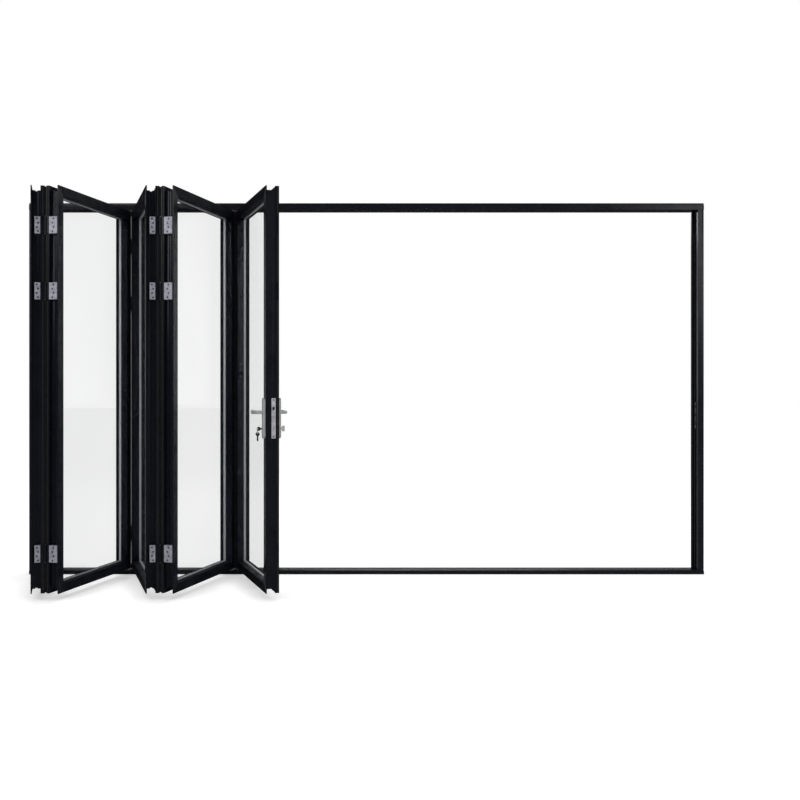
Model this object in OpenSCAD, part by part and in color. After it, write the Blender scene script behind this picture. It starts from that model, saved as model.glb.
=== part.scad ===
// Five-leaf folding glass patio door in its frame, folded back to the left.
// Millimetres. The origin is the centre of the sill's underside, +Z is up, and -Y is outdoors.

/* [Frame] */
// Overall width of the outer frame
frame_w = 4000; // [3600:10:4400]
// Overall height of the outer frame
frame_h = 2200; // [2000:10:2400]
// Depth of the frame through the wall
frame_d = 86; // [84:1:110]
// Width of a jamb's outdoor part, up to the leaf's reveal
jamb_face = 36; // [32:1:50]
// How far the indoor stop stands out past the reveal
stop_lip = 12; // [8:1:16]
// Thickness of the indoor stop
stop_t = 12; // [8:1:14]
// Height of the head profile
head_h = 40; // [38:1:60]
// Height of the sill profile
sill_h = 26; // [24:1:40]
// Width of the shallow step along the frame's outer edge
nib_w = 12; // [6:1:16]
// Depth of that step
nib_d = 5; // [2:0.5:8]

/* [Tracks] */
// Width of the slot under the head track
slot_w = 14; // [12:1:18]
// Width of the head track's chamber
track_w = 36; // [32:1:44]
// Height of the head track's chamber
track_h = 24; // [22:1:26]
// Thickness of the lips under the chamber
track_lip = 5; // [4:0.5:8]
// Width of the sill's guide groove
groove_w = 16; // [12:1:24]
// Depth of the sill's guide groove
groove_h = 14; // [10:1:18]
// Width of the hardware groove in each jamb
jamb_groove_w = 26; // [16:1:30]
// Depth of the hardware groove in each jamb
jamb_groove_d = 10; // [6:1:16]

/* [Leaves] */
// Thickness of a leaf
leaf_t = 71; // [68:1:72]
// Width of the stiles and rails up to the glass
sight_w = 48; // [44:1:70]
// Gap between the frame and the leaf's top and bottom
end_gap = 14; // [12:1:20]
// Gap between two closed leaves
joint_gap = 12; // [12:1:16]
// Gap between a jamb and the closed leaf
jamb_gap = 12; // [12:1:16]
// Angle of leaves 1 and 2 from square to the frame
fold_a = 15.7; // [12:0.1:24]
// Angle of leaves 3 and 4 from square to the frame
fold_b = 17.5; // [12:0.1:24]
// Angle of the free leaf 5 from square to the frame
fold_c = 17.8; // [12:0.1:30]
// Thickness of the outdoor flange round a leaf
flange_t = 6; // [4:0.5:8]
// Width of the channel round a leaf's edge
channel_w = 48; // [44:1:50]
// Thickness of the solid indoor part of a leaf's right stile
meet_w = 22; // [20:1:26]
// Depth of that channel
channel_d = 22; // [16:1:26]
// Width of the small groove in the channel's floor
euro_w = 12; // [8:1:16]
// Depth of that small groove
euro_d = 4; // [2:0.5:6]

/* [Glazing] */
// Thickness of one pane
pane_t = 4; // [3:0.5:6]
// Width of the space between the panes
pane_space = 12; // [10:1:14]
// Thickness of the fixed outdoor lip that holds the glass
lip_t = 30; // [26:0.5:32]
// Depth of the rebate that takes the glass
rebate_d = 12; // [9:1:16]
// Clearance round the edge of the glass
glass_gap = 3; // [2:0.5:5]
// Thickness of a glazing gasket
gasket_t = 3; // [2:0.5:4]
// Width of a glazing gasket's strip
gasket_w = 6; // [4:0.5:8]
// Width of the bar between the panes
spacer_w = 7; // [5:0.5:9]

/* [Hinges] */
// Height of one hinge
hinge_h = 87; // [60:1:120]
// Height of the lowest and of the highest hinge's middle above the leaf's ends
hinge_end = 205; // [150:5:400]
// Distance between the two upper hinges
hinge_pair = 340; // [250:5:600]
// Radius of the hinge barrel
barrel_r = 6; // [5:0.25:6]
// Radius of the hinge pin
pin_r = 3; // [2:0.5:4]
// Distance of the barrel's axis from the leaf's face
barrel_out = 2; // [2:0.5:5]
// How far the barrel's axis stands in front of the frame
barrel_proud = 7; // [6.5:0.5:10]
// Thickness of a hinge arm
arm_t = 3; // [2:0.5:3.2]
// Width of the hinge plate in a right stile
right_plate_w = 28; // [24:1:30]
// Height of a carrier's knuckle
stub_h = 24; // [20:1:40]

/* [Carriers] */
// Length of the carrier in the head track
carrier_l = 84; // [60:1:120]
// Width of the carrier's block
carrier_w = 16; // [12:1:20]
// Height of the carrier's block
carrier_t = 10; // [8:1:12]
// Radius of a carrier wheel
wheel_r = 8; // [6:0.5:9]
// Thickness of a carrier wheel
wheel_t = 6; // [4:0.5:7]
// Radius of the stem through the slot
stem_r = 5; // [4:0.5:6]
// Thickness of the arm that reaches out to the leaf
reach_t = 5; // [4:0.5:6]
// Width of that arm
reach_w = 20; // [16:1:30]

/* [Lock] */
// Height of the lever's axis above the underside of the sill
lever_z = 975; // [900:1:1100]
// Distance from the lever's axis down to the cylinder
lock_spacing = 85; // [70:1:92]
// Distance of the lever's axis from the leaf's edge
backset = 22; // [20:1:24]
// Distance of the lock's middle from the leaf's middle, towards indoors
lock_in = 6; // [2:0.5:8]
// Height of a backplate
plate_h = 210; // [206:1:245]
// Height of the backplate's top above the lever's axis
plate_top = 74; // [68:1:100]
// Width of a backplate
plate_w = 34; // [30:1:40]
// Thickness of a backplate
plate_t = 12; // [8:1:16]
// Width of the faceplate on the leaf's edge
faceplate_w = 22; // [20:1:24]
// Height of the faceplate
faceplate_h = 208; // [204:1:240]
// Thickness of the faceplate
faceplate_t = 3; // [2:0.5:4]
// Thickness of the lock case
case_t = 16; // [14:0.5:18]
// Height of the lock case
case_h = 176; // [170:1:200]
// Depth of the lock case behind the faceplate
case_d = 30; // [29:0.5:31]
// Radius of the lever's round neck
neck_r = 9; // [8:0.5:10]
// Side of the square spindle
spindle_s = 8; // [7:0.5:9]
// Distance of the grip's middle from the leaf's face
grip_out = 44; // [40:1:60]
// Length of the grip from the lever's axis
grip_l = 112; // [90:1:130]
// Radius of the grip
grip_r = 10; // [8:0.5:10.5]
// How far the latch bolt stands out of the faceplate
latch_out = 10; // [8:0.5:12]
// Height of the latch bolt
latch_h = 16; // [12:0.5:20]
// Thickness of the latch bolt
latch_t = 10; // [8:0.5:12]
// Height of the latch bolt's middle above the lever's axis
latch_up = 20; // [18:1:26]
// Radius of the cylinder's round body
cyl_r = 8.5; // [8:0.25:9]
// Width of the cylinder's leg
cyl_leg_w = 10; // [9:0.5:11]
// Height of the cylinder's leg below its axis
cyl_leg_h = 24; // [20:1:25]
// Height of the strike plate
strike_h = 154; // [140:1:200]
// Width of the strike plate
strike_w = 30; // [28:1:34]
// Thickness of the strike plate
strike_t = 2.5; // [2:0.5:4]

/* [Fixings] */
// Radius of a fixing hole in a jamb
fix_r = 5; // [3:0.5:6]
// Distance of the end fixing holes from the frame's ends
fix_end = 200; // [100:10:300]

/* [Hidden] */

leaf_count = 5;
// A loose fit, a running fit and the gap between two knuckles
slip = 0.3;
run = 0.08;
knuckle_gap = 0.4;
// How far a hinge plate stands out of the leaf's edge, and its gap to the channel's sides
edge_out = 0.5;
plate_gap = 1;
// How far the sill's outdoor top falls
sill_fall = 3;
// Carrier wheels: axle radius, and the gap beside the block
axle_r = 2;
wheel_gap = 0.4;
// Clear height between an arm and the profile above or below it
reach_gap = 3;
// Strike plate: its end below the cylinder's axis, and its hook and bolt slots
strike_low = 27;
hook_down = 30;
bolt_up = 10;
slot_gap = 1;
// Latch bolt: length kept inside the case, free depth behind it, and its flat tip
latch_in = 12;
latch_free = 4;
latch_tip = 2;
// Play round the spindle, its length in a lever, and the infill's gap to the leaf's edge
bore_l = 30;
spindle_in = 12;
infill_in = 1.5;
// Cylinder: how far it stands out of a plate, and the indoor thumb turn
cyl_proud = 4;
turn_r = 6;
turn_neck = 5;
turn_w = 5;
turn_l = 14;
turn_h = 30;
// Keys: thickness, head, blade width and length, hole and the gap from head to cylinder
key_t = 2.5;
key_head_r = 10.5;
key_blade_w = 8;
key_blade_l = 36;
key_hole_r = 3;
key_hole_in = 6;
key_reach = 16;
ring_r = 9;
wire_r = 1;
$fn = 48;

// Leaf sizes follow from the frame
leaf_w = (frame_w - 2 * jamb_face - 2 * jamb_gap - (leaf_count - 1) * joint_gap) / leaf_count;
leaf_z = sill_h + end_gap;
leaf_h = frame_h - head_h - end_gap - leaf_z;
glass_edge = sight_w - rebate_d + glass_gap;
pane_a = lip_t + gasket_t;
pane_b = pane_a + pane_t + pane_space;
bead_y = pane_b + pane_t + gasket_t;

// The fold: each leaf's angle, and where its barrels stand
barrel_y = -frame_d / 2 - barrel_proud;
span = leaf_w + joint_gap;
span_1 = leaf_w + (joint_gap + jamb_gap) / 2;
offset = leaf_t + 2 * barrel_out;
reach_a = span_1 * cos(fold_a) - offset * sin(fold_a);
fold_a2 = acos(reach_a / sqrt(span * span + offset * offset)) - atan2(offset, span);
folds = [fold_a, fold_a2, fold_b, fold_b, fold_c];
barrel_0 = [-frame_w / 2 + jamb_face + jamb_gap / 2, barrel_y];
barrel_1 = barrel_0 + [span_1 * sin(fold_a) + offset * cos(fold_a), -reach_a];
barrel_2 = [barrel_1[0] + span * sin(fold_a2) + offset * cos(fold_a2), barrel_y];
barrel_3 = barrel_2 + [span * sin(fold_b) + offset * cos(fold_b),
                       offset * sin(fold_b) - span * cos(fold_b)];
barrel_4 = [2 * barrel_3[0] - barrel_2[0], barrel_y];
barrels = [barrel_0, barrel_1, barrel_2, barrel_3, barrel_4];

hinge_zs = [hinge_end, leaf_h - hinge_end - hinge_pair, leaf_h - hinge_end];
right_channel_w = leaf_t - flange_t - meet_w;
// Outdoor and indoor side of the hinge plate in a left and in a right stile
left_plate = [flange_t + plate_gap, flange_t + channel_w - plate_gap];
right_plate_end = flange_t + right_channel_w - plate_gap;
right_plate = [right_plate_end - right_plate_w, right_plate_end];
fix_zs = [for (i = [0:3]) fix_end + i * (frame_h - 2 * fix_end) / 3];

// Lock places in the leaf's own frame: x from its left edge, y from its outdoor face
lock_x = leaf_w - backset;
lock_y = leaf_t / 2 + lock_in;
lock_z = lever_z - leaf_z;
cyl_z = lock_z - lock_spacing;
plate_z = lock_z + plate_top - plate_h;
face_z = plate_z + (plate_h - faceplate_h) / 2;
case_z = face_z + (faceplate_h - case_h) / 2;
closed_lock_y = barrel_y + barrel_out + lock_y;
cyl_out = plate_t + cyl_proud;
latch_z = lock_z + latch_up;
latch_l = latch_out + faceplate_t + latch_in;
key_y = -cyl_out - key_reach;
ring_z = -key_hole_r + wire_r + slip - ring_r;
second_hole_z = ring_z - ring_r + wire_r + slip - key_hole_r;

// Carriers and guides stand below the barrels between leaves 2 and 3 and between 4 and 5
carrier_xs = [barrel_2[0], barrel_4[0]];
axle_z = frame_h - head_h + track_lip + wheel_r;
reach_top = frame_h - head_h - reach_gap;

// Puts a piece drawn in leaf n's own frame where that leaf stands folded
module in_leaf(n) {
    odd = n % 2 == 1;
    at = barrels[odd ? n - 1 : n];
    turn = odd ? folds[n - 1] - 90 : 90 - folds[n - 1];
    left_gap = n == 1 ? jamb_gap / 2 : joint_gap / 2;
    shift = odd ? left_gap : -leaf_w - joint_gap / 2;
    translate([at[0], at[1], leaf_z]) rotate([0, 0, turn]) translate([shift, barrel_out, 0]) children();
}

// Section of a stile or rail with a channel of that width: u runs in from the leaf's edge,
// v from the outdoor face
module leaf_section(groove_w) {
    difference() {
        square([sight_w, leaf_t]);
        translate([sight_w - rebate_d, lip_t]) square([rebate_d + 1, leaf_t]);
        translate([-1, flange_t]) square([channel_d + 1, groove_w]);
        translate([channel_d - 1, flange_t + (groove_w - euro_w) / 2]) square([euro_d + 1, euro_w]);
    }
}

// A bar of that section with mitred ends, along +Z, its outer edge on x = 0
module mitred_bar(length, groove_w = channel_w) {
    intersection() {
        linear_extrude(length) leaf_section(groove_w);
        translate([0, leaf_t + 1, 0]) rotate([90, 0, 0]) linear_extrude(leaf_t + 2)
            polygon([[0, 0], [sight_w, sight_w], [sight_w, length - sight_w], [0, length]]);
    }
}

module stile_left() { mitred_bar(leaf_h); }

module stile_right() {
    translate([leaf_w, 0, 0]) mirror([1, 0, 0]) mitred_bar(leaf_h, right_channel_w);
}

module rail_bottom() { rotate([0, 90, 0]) mirror([1, 0, 0]) mitred_bar(leaf_w); }

module rail_top() { translate([0, 0, leaf_h]) rotate([0, 90, 0]) mitred_bar(leaf_w); }

module leaf_stiles(n) {
    color("#14171c") in_leaf(n) {
        stile_left();
        stile_right();
    }
}

module leaf_rails(n) {
    color("#14171c") in_leaf(n) {
        rail_bottom();
        rail_top();
    }
}

module leaf_panes(n) {
    color("#dfe6e8", 0.4) in_leaf(n)
        for (y = [pane_a, pane_b])
            translate([glass_edge, y, glass_edge])
                cube([leaf_w - 2 * glass_edge, pane_t, leaf_h - 2 * glass_edge]);
}

// Four snap-in beads on the indoor side, the uprights between the level ones
module leaf_beads(n) {
    seat = sight_w - rebate_d;
    color("#1b1f26") in_leaf(n) {
        for (z = [seat, leaf_h - sight_w])
            translate([seat, bead_y, z]) cube([leaf_w - 2 * seat, leaf_t - bead_y, rebate_d]);
        for (x = [seat, leaf_w - sight_w])
            translate([x, bead_y, sight_w + slip])
                cube([rebate_d, leaf_t - bead_y, leaf_h - 2 * sight_w - 2 * slip]);
    }
}

// A flat ring in the plane of a leaf, from inset a to inset b
module leaf_ring(a, b, y, t) {
    translate([0, y + t, 0]) rotate([90, 0, 0]) linear_extrude(t) difference() {
        translate([a, a]) square([leaf_w - 2 * a, leaf_h - 2 * a]);
        translate([b, b]) square([leaf_w - 2 * b, leaf_h - 2 * b]);
    }
}

module glass_spacers() {
    color("#9aa0a6")
        for (n = [1:leaf_count])
            in_leaf(n) leaf_ring(sight_w - spacer_w / 2, sight_w + spacer_w / 2, pane_a + pane_t, pane_space);
}

module glazing_gaskets() {
    color("#08090b")
        for (n = [1:leaf_count], y = [lip_t, pane_b + pane_t])
            in_leaf(n) leaf_ring(sight_w - gasket_w, sight_w, y, gasket_t);
}

// Section of a jamb: s runs in from the frame's outer edge, y through the wall
module jamb_section() {
    difference() {
        union() {
            translate([0, -frame_d / 2]) square([jamb_face, frame_d]);
            translate([0, frame_d / 2 - stop_t]) square([jamb_face + stop_lip, stop_t]);
        }
        translate([-1, -frame_d / 2 - 1]) square([nib_w + 1, nib_d + 1]);
        translate([jamb_face - jamb_groove_d, closed_lock_y - jamb_groove_w / 2])
            square([jamb_groove_d + 1, jamb_groove_w]);
    }
}

module jamb() {
    difference() {
        translate([0, 0, sill_h]) linear_extrude(frame_h - head_h - sill_h) jamb_section();
        for (z = fix_zs)
            translate([-1, closed_lock_y, z]) rotate([0, 90, 0]) cylinder(r = fix_r, h = jamb_face + 2);
    }
}

module frame_jamb_left() { color("#171a20") translate([-frame_w / 2, 0, 0]) jamb(); }

module frame_jamb_right() { color("#171a20") translate([frame_w / 2, 0, 0]) mirror([1, 0, 0]) jamb(); }

// The head runs over both jambs and holds the carriers' track
module frame_head() {
    color("#171a20") rotate([90, 0, 90]) translate([0, 0, -frame_w / 2]) linear_extrude(frame_w)
        difference() {
            translate([-frame_d / 2, frame_h - head_h]) square([frame_d, head_h]);
            translate([-slot_w / 2, frame_h - head_h - 1]) square([slot_w, head_h / 2]);
            translate([-track_w / 2, frame_h - head_h + track_lip]) square([track_w, track_h]);
            translate([-frame_d / 2 - 1, frame_h - nib_w]) square([nib_d + 1, nib_w + 1]);
        }
}

// The sill runs under both jambs, falls a little outdoors and holds the guide groove
module frame_sill() {
    color("#171a20") rotate([90, 0, 90]) translate([0, 0, -frame_w / 2]) linear_extrude(frame_w)
        difference() {
            translate([-frame_d / 2, 0]) square([frame_d, sill_h]);
            translate([-groove_w / 2, sill_h - groove_h]) square([groove_w, groove_h + 1]);
            polygon([[-frame_d / 2 - 1, sill_h - sill_fall], [-groove_w, sill_h],
                     [-groove_w, sill_h + 1], [-frame_d / 2 - 1, sill_h + 1]]);
        }
}

// Strike plate on the right jamb's reveal, with slots for the latch and the bolt
module strike_plate() {
    slot_y = latch_t / 2 + slot_gap;
    slot_z = latch_h / 2 + slot_gap;
    color("#3a3d42") translate([frame_w / 2 - jamb_face - strike_t, closed_lock_y, lever_z])
        difference() {
            translate([0, -strike_w / 2, -lock_spacing - strike_low]) cube([strike_t, strike_w, strike_h]);
            for (z = [latch_up, -hook_down, bolt_up - lock_spacing])
                translate([-1, -slot_y, z - slot_z]) cube([strike_t + 2, 2 * slot_y, 2 * slot_z]);
        }
}

// One hinge's bright block in the channel of a leaf's edge, from one side of plate to the other
module edge_block(z, plate) {
    translate([-arm_t - edge_out, plate[0], z - hinge_h / 2])
        cube([arm_t + edge_out + channel_d, plate[1] - plate[0], hinge_h]);
}

// One arm at a leaf's left edge: barrel segments, and a plate that runs to the bright block
module edge_arm(gap, y, z, h, segments, from) {
    near = y < 0 ? y + barrel_r + 1 : y - barrel_r - 1;
    low = min(near, from);
    high = max(near, from);
    translate([-arm_t - edge_out, low, z - h / 2]) cube([arm_t, high - low, h]);
    for (s = segments)
        difference() {
            union() {
                translate([-gap, y, z + s[0]]) cylinder(r = barrel_r, h = s[1] - s[0]);
                translate([-arm_t - edge_out, min(y, near), z + s[0]])
                    cube([arm_t, abs(near - y), s[1] - s[0]]);
            }
            translate([-gap, y, z - h]) cylinder(r = pin_r + run, h = 2 * h);
        }
}

// The end knuckles of a barrel of height h, and its middle knuckle
function ends_of(h) = [[-h / 2, -h / 6 - knuckle_gap / 2], [h / 6 + knuckle_gap / 2, h / 2]];
function middle_of(h) = [[-h / 6 + knuckle_gap / 2, h / 6 - knuckle_gap / 2]];

// Draws a left-edge piece at leaf n's left or right edge
module at_edge(n, right) {
    in_leaf(n)
        if (right) translate([leaf_w, 0, 0]) mirror([1, 0, 0]) children();
        else children();
}

// Side of leaf n that meets barrel b, and whether that barrel stands on the outdoor face
function on_right(n, b) = n == b;
function outdoors(b) = b % 2 == 0;

module leaf_arm(n, b, zs, h, segments) {
    gap = n == 1 && b == 0 ? jamb_gap / 2 : joint_gap / 2;
    y = outdoors(b) ? -barrel_out : leaf_t + barrel_out;
    plate = on_right(n, b) ? right_plate : left_plate;
    from = outdoors(b) ? plate[0] : plate[1];
    at_edge(n, on_right(n, b))
        for (z = zs) edge_arm(gap, y, z, h, segments, from);
}

module hinge_plates() {
    color("#c9cacf")
        for (b = [0:leaf_count - 1], n = [b, b + 1])
            if (n > 0) at_edge(n, on_right(n, b))
                for (z = hinge_zs) edge_block(z, on_right(n, b) ? right_plate : left_plate);
}

// Jamb side of the left hinges, on the jamb's reveal
module jamb_arms() {
    for (z = hinge_zs)
        difference() {
            union() {
                translate([-frame_w / 2 + jamb_face, -frame_d / 2, leaf_z + z - hinge_h / 2])
                    cube([arm_t - edge_out, frame_d / 4, hinge_h]);
                for (s = ends_of(hinge_h)) {
                    translate([-frame_w / 2 + jamb_face, barrel_y, leaf_z + z + s[0]])
                        cube([arm_t - edge_out, barrel_proud, s[1] - s[0]]);
                    translate([barrel_0[0], barrel_y, leaf_z + z + s[0]])
                        cylinder(r = barrel_r, h = s[1] - s[0]);
                }
            }
            translate([barrel_0[0], barrel_y, leaf_z + z - hinge_h])
                cylinder(r = pin_r + run, h = 2 * hinge_h);
        }
}

module hinge_arms_outer() {
    color("#101318") {
        jamb_arms();
        for (b = [1:leaf_count - 1]) leaf_arm(b, b, hinge_zs, hinge_h, ends_of(hinge_h));
    }
}

module hinge_arms_middle() {
    color("#101318") {
        for (b = [0:leaf_count - 1]) leaf_arm(b + 1, b, hinge_zs, hinge_h, middle_of(hinge_h));
        for (b = [2, 4], top = [0, 1])
            leaf_arm(b, b, [top ? leaf_h - stub_h / 2 : stub_h / 2], stub_h, [[-stub_h / 2, stub_h / 2]]);
    }
}

module hinge_pins() {
    color("#6f7378")
        for (at = barrels, z = hinge_zs)
            translate([at[0], at[1], leaf_z + z - hinge_h / 2 - 2]) {
                cylinder(r = pin_r, h = hinge_h + 4);
                cylinder(r = barrel_r - 1, h = 2 - knuckle_gap);
            }
}

// A block on four wheels in the head track, its stem and the arm out to the leaves' barrel
module track_carrier() {
    difference() {
        translate([-carrier_l / 2, -carrier_w / 2, axle_z - carrier_t / 2 + axle_r])
            cube([carrier_l, carrier_w, carrier_t]);
        for (x = [-1, 1] * (carrier_l / 2 - wheel_r))
            translate([x, -carrier_w, axle_z]) rotate([-90, 0, 0])
                cylinder(r = axle_r + run, h = 2 * carrier_w);
    }
    translate([0, 0, reach_top - reach_t]) cylinder(r = stem_r, h = axle_z - reach_top + reach_t);
    translate([-reach_w / 2, barrel_y - pin_r - 2, reach_top - reach_t])
        cube([reach_w, -barrel_y + pin_r + 2 + stem_r, reach_t]);
    translate([0, barrel_y, leaf_z + leaf_h - stub_h])
        cylinder(r = pin_r, h = reach_top - leaf_z - leaf_h + stub_h);
}

module track_carriers() {
    color("#2a2d31")
        for (x = carrier_xs) translate([x, 0, 0]) track_carrier();
}

module carrier_wheels() {
    color("#d8d6cf")
        for (cx = carrier_xs, x = [-1, 1] * (carrier_l / 2 - wheel_r))
            translate([cx + x, 0, axle_z]) rotate([90, 0, 0]) {
                cylinder(r = axle_r, h = carrier_w + 1, center = true);
                for (side = [-1, 1])
                    translate([0, 0, side * (carrier_w / 2 + wheel_gap + wheel_t / 2)])
                        cylinder(r = wheel_r, h = wheel_t, center = true);
            }
}

// A block in the sill's groove, its arm out to the barrel and the pin up into the leaf's knuckle
module sill_guide() {
    foot = sill_h - groove_h;
    low = sill_h + reach_gap;
    translate([-carrier_l / 4, -groove_w / 2 + slip, foot])
        cube([carrier_l / 2, groove_w - 2 * slip, groove_h - 2]);
    translate([0, 0, foot]) cylinder(r = stem_r, h = low - foot + reach_t);
    translate([-reach_w / 2, barrel_y - pin_r - 2, low])
        cube([reach_w, -barrel_y + pin_r + 2 + stem_r, reach_t]);
    translate([0, barrel_y, low]) cylinder(r = pin_r, h = leaf_z - low + stub_h);
}

module sill_guides() {
    color("#2a2d31")
        for (x = carrier_xs) translate([x, 0, 0]) sill_guide();
}

// The cylinder's outline, larger all round by grow
module cylinder_outline(grow = 0) {
    circle(r = cyl_r + grow);
    translate([-cyl_leg_w / 2 - grow, -cyl_leg_h - grow]) square([cyl_leg_w + 2 * grow, cyl_leg_h]);
}

// Draws an outline in the leaf's plane at [x, z] and carries it through from y to y + t
module through(x, z, y, t) {
    translate([x, y + t, z]) rotate([90, 0, 0]) linear_extrude(t) children();
}

// Everything that is cut out of the free leaf's right stile for the lock
module lock_mortice() {
    translate([leaf_w - faceplate_t, lock_y - faceplate_w / 2 - slip, face_z - slip])
        cube([faceplate_t + 1, faceplate_w + 2 * slip, faceplate_h + 2 * slip]);
    translate([leaf_w - faceplate_t - case_d - slip, lock_y - case_t / 2 - slip, case_z - slip])
        cube([case_d + faceplate_t, case_t + 2 * slip, case_h + 2 * slip]);
    through(lock_x, lock_z, -1, leaf_t + 2) circle(r = neck_r + 1);
    through(lock_x, cyl_z, -1, leaf_t + 2) cylinder_outline(slip);
}

module leaf_5_stiles() {
    color("#14171c") in_leaf(5) {
        stile_left();
        difference() {
            stile_right();
            lock_mortice();
        }
    }
}

// Fills the channel of the free leaf's lock stile
module lock_stile_infill() {
    color("#191c22") in_leaf(5) difference() {
        translate([leaf_w - channel_d, flange_t + slip, channel_d + 1])
            cube([channel_d - infill_in, right_channel_w - 2 * slip, leaf_h - 2 * channel_d - 2]);
        lock_mortice();
    }
}

module lock_faceplate() {
    color("#c9cacf") in_leaf(5) difference() {
        translate([leaf_w - faceplate_t, lock_y - faceplate_w / 2, face_z])
            cube([faceplate_t, faceplate_w, faceplate_h]);
        translate([leaf_w - faceplate_t - 1, lock_y - latch_t / 2 - run, latch_z - latch_h / 2 - run])
            cube([faceplate_t + 2, latch_t + 2 * run, latch_h + 2 * run]);
    }
}

module lock_case() {
    pocket = latch_l + latch_free;
    color("#8e9196") in_leaf(5) difference() {
        translate([leaf_w - faceplate_t - case_d, lock_y - case_t / 2, case_z])
            cube([case_d, case_t, case_h]);
        translate([leaf_w - pocket, lock_y - latch_t / 2 - slip, latch_z - latch_h / 2 - slip])
            cube([pocket, latch_t + 2 * slip, latch_h + 2 * slip]);
        through(lock_x, lock_z, -1, leaf_t + 2) circle(r = spindle_s / sqrt(2) + slip);
        through(lock_x, cyl_z, -1, leaf_t + 2) cylinder_outline(slip);
    }
}

// The latch bolt, its nose bevelled on the indoor side
module latch_bolt() {
    color("#b9bbc0") in_leaf(5)
        translate([leaf_w + latch_out - latch_l, lock_y - latch_t / 2, latch_z - latch_h / 2])
            linear_extrude(latch_h)
                polygon([[0, 0], [latch_l, 0], [latch_l, latch_tip],
                         [latch_l - latch_out + latch_tip, latch_t], [0, latch_t]]);
}

// A long plate with round ends, bored for the lever's neck and cut for the cylinder
module backplate() {
    difference() {
        union() {
            translate([0, plate_z + plate_w / 2 - lock_z]) square([plate_w, plate_h - plate_w]);
            for (z = [plate_z + plate_w / 2, plate_z + plate_h - plate_w / 2])
                translate([plate_w / 2, z - lock_z]) circle(r = plate_w / 2);
        }
        translate([plate_w / 2, 0]) circle(r = neck_r + run);
        translate([plate_w / 2, cyl_z - lock_z]) cylinder_outline(slip);
    }
}

module handle_backplates() {
    color("#b4b6bb") in_leaf(5)
        for (y = [-plate_t, leaf_t])
            through(lock_x - plate_w / 2, lock_z, y, plate_t) backplate();
}

// A lever on the outdoor side: neck out of the leaf's face, then the grip towards the hinges
module lever() {
    rotate([90, 0, 0]) cylinder(r = neck_r, h = grip_out);
    translate([0, -grip_out, 0]) {
        sphere(r = neck_r);
        rotate([0, -90, 0]) cylinder(r = grip_r, h = grip_l - grip_r);
        translate([grip_r - grip_l, 0, 0]) sphere(r = grip_r);
    }
}

module lever_bore() {
    cube([spindle_s + 2 * run, 2 * bore_l, spindle_s + 2 * run], center = true);
}

module lever_outdoor() {
    color("#b4b6bb") in_leaf(5) translate([lock_x, 0, lock_z]) difference() {
        lever();
        lever_bore();
    }
}

module lever_indoor() {
    color("#b4b6bb") in_leaf(5) translate([lock_x, leaf_t, lock_z]) difference() {
        mirror([0, 1, 0]) lever();
        lever_bore();
    }
}

module lever_spindle() {
    color("#85888d") in_leaf(5)
        translate([lock_x, leaf_t / 2, lock_z])
            cube([spindle_s, leaf_t + 2 * (plate_t + spindle_in), spindle_s], center = true);
}

module lock_cylinder() {
    color("#c2b27a") in_leaf(5) {
        through(lock_x, cyl_z, -cyl_out, leaf_t + 2 * cyl_out) cylinder_outline();
        translate([lock_x, leaf_t + cyl_out, cyl_z]) rotate([-90, 0, 0])
            cylinder(r = turn_r, h = turn_neck + 1);
        translate([lock_x - turn_w / 2, leaf_t + cyl_out + turn_neck, cyl_z - turn_h / 2])
            cube([turn_w, turn_l, turn_h]);
    }
}

// A key in the plane x = 0, its head's middle at the origin and its blade along +y
module door_key(blade) {
    translate([-key_t / 2, 0, 0]) rotate([90, 0, 90]) linear_extrude(key_t) difference() {
        union() {
            circle(r = key_head_r);
            translate([0, -key_blade_w / 2]) square([blade, key_blade_w]);
        }
        translate([-key_hole_in, 0]) circle(r = key_hole_r);
    }
}

// A key in the cylinder, a ring through its head and a second key that hangs from the ring
module door_keys() {
    color("#3b3c3f") in_leaf(5) translate([lock_x, key_y, cyl_z]) {
        door_key(-cyl_out - key_y);
        translate([0, -key_hole_in, ring_z]) rotate([90, 0, 0])
            rotate_extrude() translate([ring_r, 0]) circle(r = wire_r);
        translate([0, -key_hole_in, second_hole_z - key_hole_in]) rotate([-90, 0, 0]) door_key(key_blade_l);
    }
}

frame_head();
frame_sill();
frame_jamb_left();
frame_jamb_right();
strike_plate();
leaf_stiles(1);  // leaf_1_stiles
leaf_stiles(2);  // leaf_2_stiles
leaf_stiles(3);  // leaf_3_stiles
leaf_stiles(4);  // leaf_4_stiles
leaf_5_stiles();
leaf_rails(1);  // leaf_1_rails
leaf_rails(2);  // leaf_2_rails
leaf_rails(3);  // leaf_3_rails
leaf_rails(4);  // leaf_4_rails
leaf_rails(5);  // leaf_5_rails
leaf_panes(1);  // leaf_1_panes
leaf_panes(2);  // leaf_2_panes
leaf_panes(3);  // leaf_3_panes
leaf_panes(4);  // leaf_4_panes
leaf_panes(5);  // leaf_5_panes
leaf_beads(1);  // leaf_1_beads
leaf_beads(2);  // leaf_2_beads
leaf_beads(3);  // leaf_3_beads
leaf_beads(4);  // leaf_4_beads
leaf_beads(5);  // leaf_5_beads
glass_spacers();
glazing_gaskets();
hinge_plates();
hinge_arms_outer();
hinge_arms_middle();
hinge_pins();
track_carriers();
carrier_wheels();
sill_guides();
lock_stile_infill();
lock_faceplate();
lock_case();
latch_bolt();
handle_backplates();
lever_outdoor();
lever_indoor();
lever_spindle();
lock_cylinder();
door_keys();
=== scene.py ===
import logging
import math
from collections.abc import Sequence
from dataclasses import dataclass, field
from enum import Enum

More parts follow.
